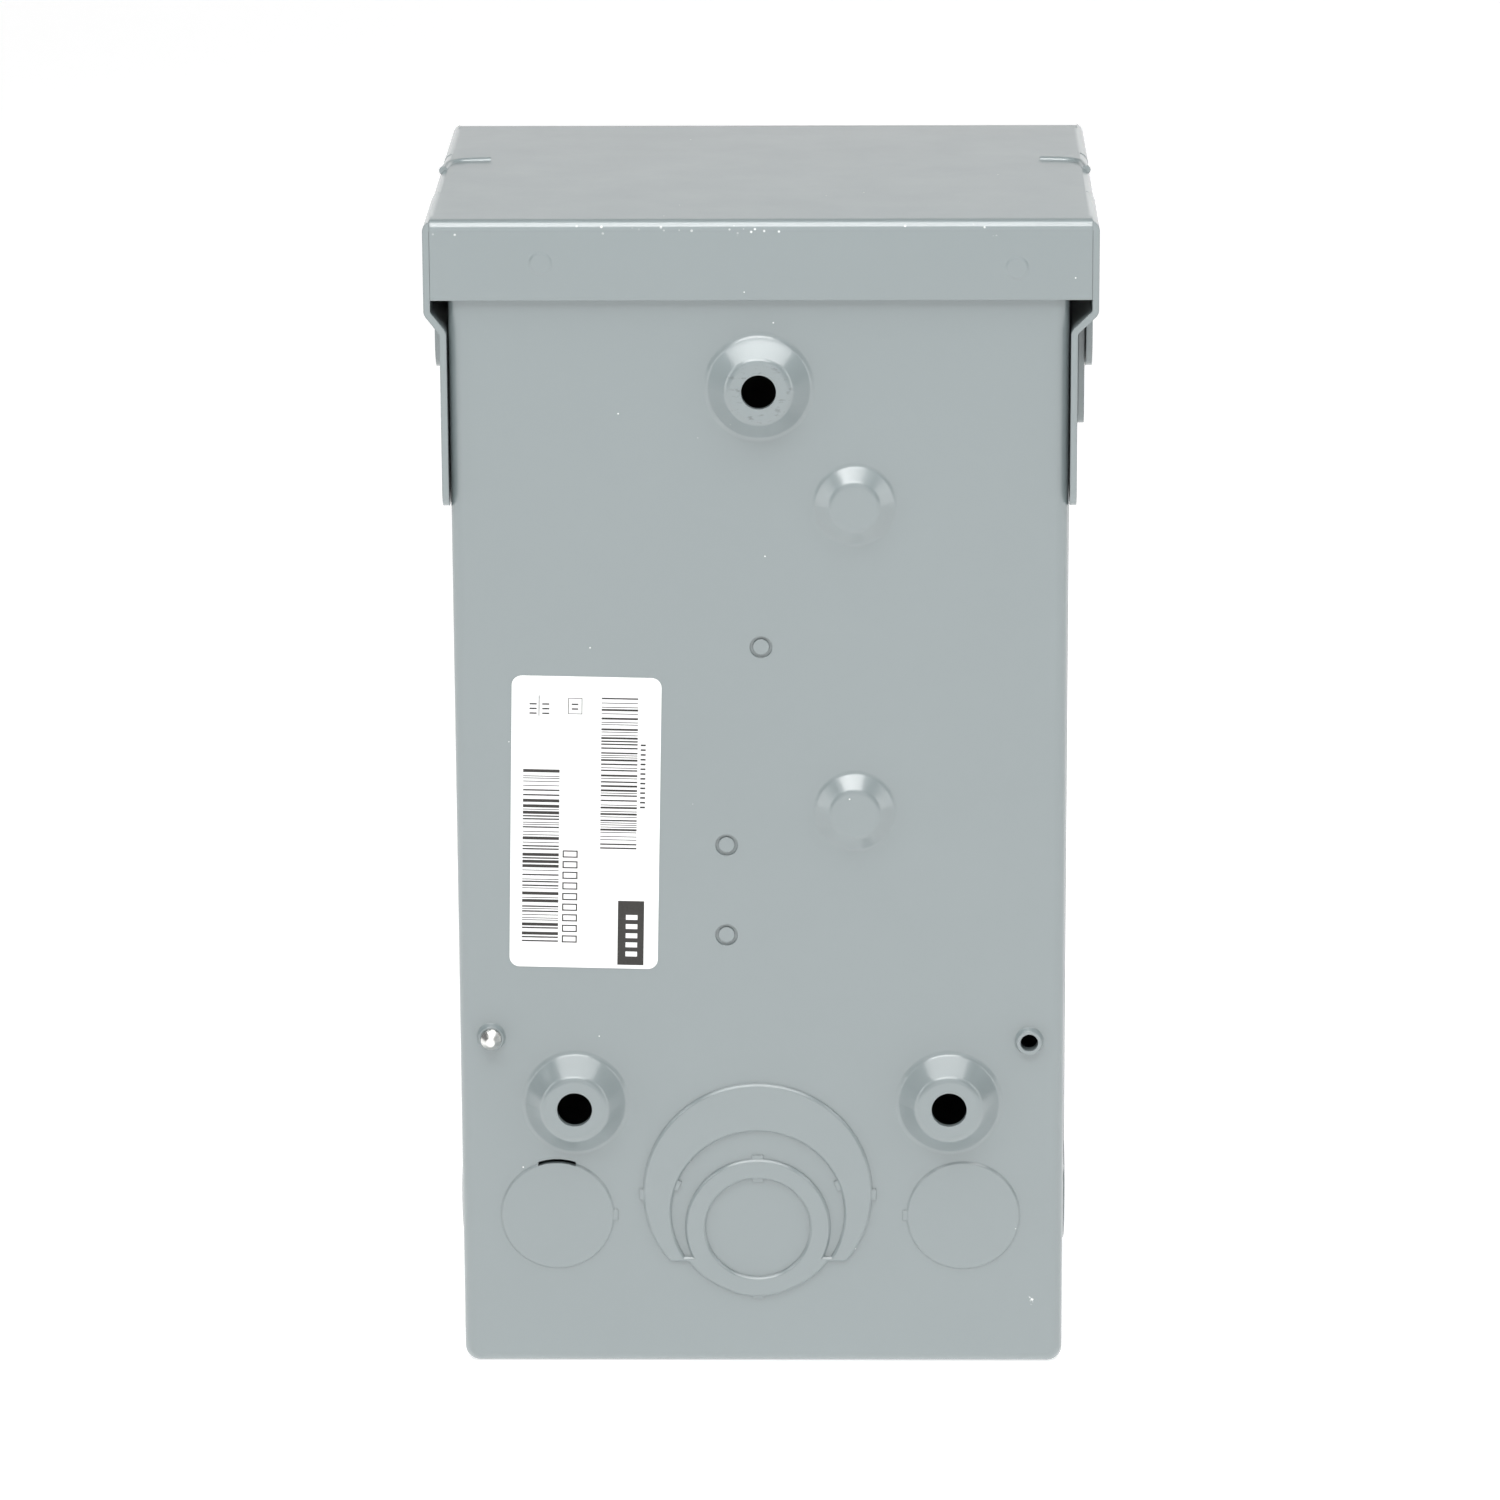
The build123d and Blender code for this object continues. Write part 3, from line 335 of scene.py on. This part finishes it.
def paint_cad_nodes():
    """Give every carried-over CAD node the material of its slot."""
    for row in frame["record"]["subparts"]:
        node = frame["nodes"][row["node"]]
        node.data.materials.clear()
        node.data.materials.append(MATERIALS[row["material_slot"]])


# ---- pieces ----
def link_label(name, bm, body):
    """Make a label's mesh into a piece that rides on a body."""
    mesh = bpy.data.meshes.new(name)
    bmesh.ops.recalc_face_normals(bm, faces=bm.faces)
    bm.to_mesh(mesh)
    bm.free()
    piece = bpy.data.objects.new(name, mesh)
    for material in (MATERIALS["label_film"], INK):
        mesh.materials.append(material)
    bpy.context.scene.collection.objects.link(piece)
    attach(piece, body)
    return piece


def rounded_outline(w, h, r, steps=8):
    """Corner points of a rounded rectangle about the origin, anticlockwise."""
    points = []
    for cx, cz, start in ((1, 1, 0), (-1, 1, 90), (-1, -1, 180), (1, -1, 270)):
        for k in range(steps + 1):
            a = math.radians(start + 90 * k / steps)
            points.append((cx * (w / 2 - r) + r * math.cos(a), cz * (h / 2 - r) + r * math.sin(a)))
    return points


def plate(bm, outline, to_world, low, high, index):
    """Flat slab of an outline between two heights, whose faces take a material index."""
    under = [bm.verts.new(to_world @ Vector((x, z, low))) for x, z in outline]
    over = [bm.verts.new(to_world @ Vector((x, z, high))) for x, z in outline]
    faces = [bm.faces.new(over), bm.faces.new(list(reversed(under)))]
    count = len(outline)
    for k in range(count):
        faces.append(bm.faces.new((under[k], under[(k + 1) % count], over[(k + 1) % count], over[k])))
    for face in faces:
        face.material_index = index


def bar(bm, to_world, x0, x1, z0, z1, low=PAPER, high=PRINT, index=1):
    """Printed bar; positions in mm from the label's middle."""
    plate(bm, [(x0, z0), (x1, z0), (x1, z1), (x0, z1)], to_world, low, high, index)


def open_frame(bm, to_world, x0, x1, z0, z1, line):
    """Rectangle drawn as four thin lines."""
    for a0, a1, b0, b1 in ((x0, x1, z0, z0 + line), (x0, x1, z1 - line, z1),
                           (x0, x0 + line, z0 + line, z1 - line), (x1 - line, x1, z0 + line, z1 - line)):
        bar(bm, to_world, a0, a1, b0, b1)


def rear_label():
    """Stick-on identification label: bar patterns, a solid block and plain marks where lettering would be."""
    lo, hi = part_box("rear_label")
    centre = (lo + hi) / 2
    tilt = Matrix.Rotation(math.radians(LABEL_TILT), 4, "Y")
    across = Matrix(((-MM, 0, 0, 0), (0, 0, MM, 0), (0, MM, 0, 0), (0, 0, 0, 1)))
    to_world = Matrix.Translation((centre.x, lo.y, centre.z)) @ tilt.inverted() @ across
    bm = bmesh.new()
    plate(bm, rounded_outline(29.5, 59.9, 2.0), to_world, 0.0, PAPER, 0)
    for x0, x1, z0, z1, widest in ((-12.35, -5.15, -24.7, 11.3, 0.62), (3.0, 10.2, -5.2, 26.1, 0.4)):
        z = z0
        while z < z1 - 0.3:
            width = random.choice((0.16, 0.3, widest))
            bar(bm, to_world, x0, x1, z, min(z + width, z1))
            z += width + random.choice((0.26, 0.3, 0.5, 0.7))
    bar(bm, to_world, 6.7, 11.9, -29.2, -15.9)
    for k in range(5):
        bar(bm, to_world, 8.3, 10.6, -27.4 + 1.9 * k, -26.4 + 1.9 * k, PRINT, PRINT + 0.01, 0)
    for k in range(9):
        open_frame(bm, to_world, -4.4, -1.4, -24.8 + 2.2 * k, -23.3 + 2.2 * k, 0.26)
    for k in range(14):
        bar(bm, to_world, 10.8, 11.8, 3.3 + 0.98 * k, 3.65 + 0.98 * k)
    bar(bm, to_world, -9.4, -9.25, 21.8, 26.0)
    for x in (-11.2, -8.7):
        for k in range(3):
            bar(bm, to_world, x, x + 1.4, 22.2 + 0.95 * k, 22.5 + 0.95 * k)
    open_frame(bm, to_world, -3.6, -0.8, 22.3, 25.6, 0.14)
    for k in range(2):
        bar(bm, to_world, -2.9, -1.6, 23.2 + 0.95 * k, 23.5 + 0.95 * k)
    piece = link_label("rear_label_print", bm, "enclosure")
    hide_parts("rear_label")


def directory_label():
    """Circuit directory on the inside of the door: a ruled table with an empty heading bar."""
    lo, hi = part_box("door_label")
    centre = (lo + hi) / 2
    across = Matrix(((MM, 0, 0, 0), (0, 0, MM, 0), (0, MM, 0, 0), (0, 0, 0, 1)))
    to_world = Matrix.Translation((centre.x, lo.y, centre.z)) @ across
    bm = bmesh.new()
    plate(bm, rounded_outline(96, 130, 3.0), to_world, 0.0, PAPER, 0)
    bar(bm, to_world, -42, 42, 46, 56)
    for k in range(9):
        z = 40 - 11.5 * k
        bar(bm, to_world, -42, 42, z, z + 0.45)
    for x in (-42, -30, 0, 12, 41.6):
        bar(bm, to_world, x, x + 0.4, -52, 40)
    piece = link_label("directory_label", bm, "door")
    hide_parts("door_label")


make_camera()
make_studio()
make_floor()
paint_cad_nodes()
rear_label()
directory_label()
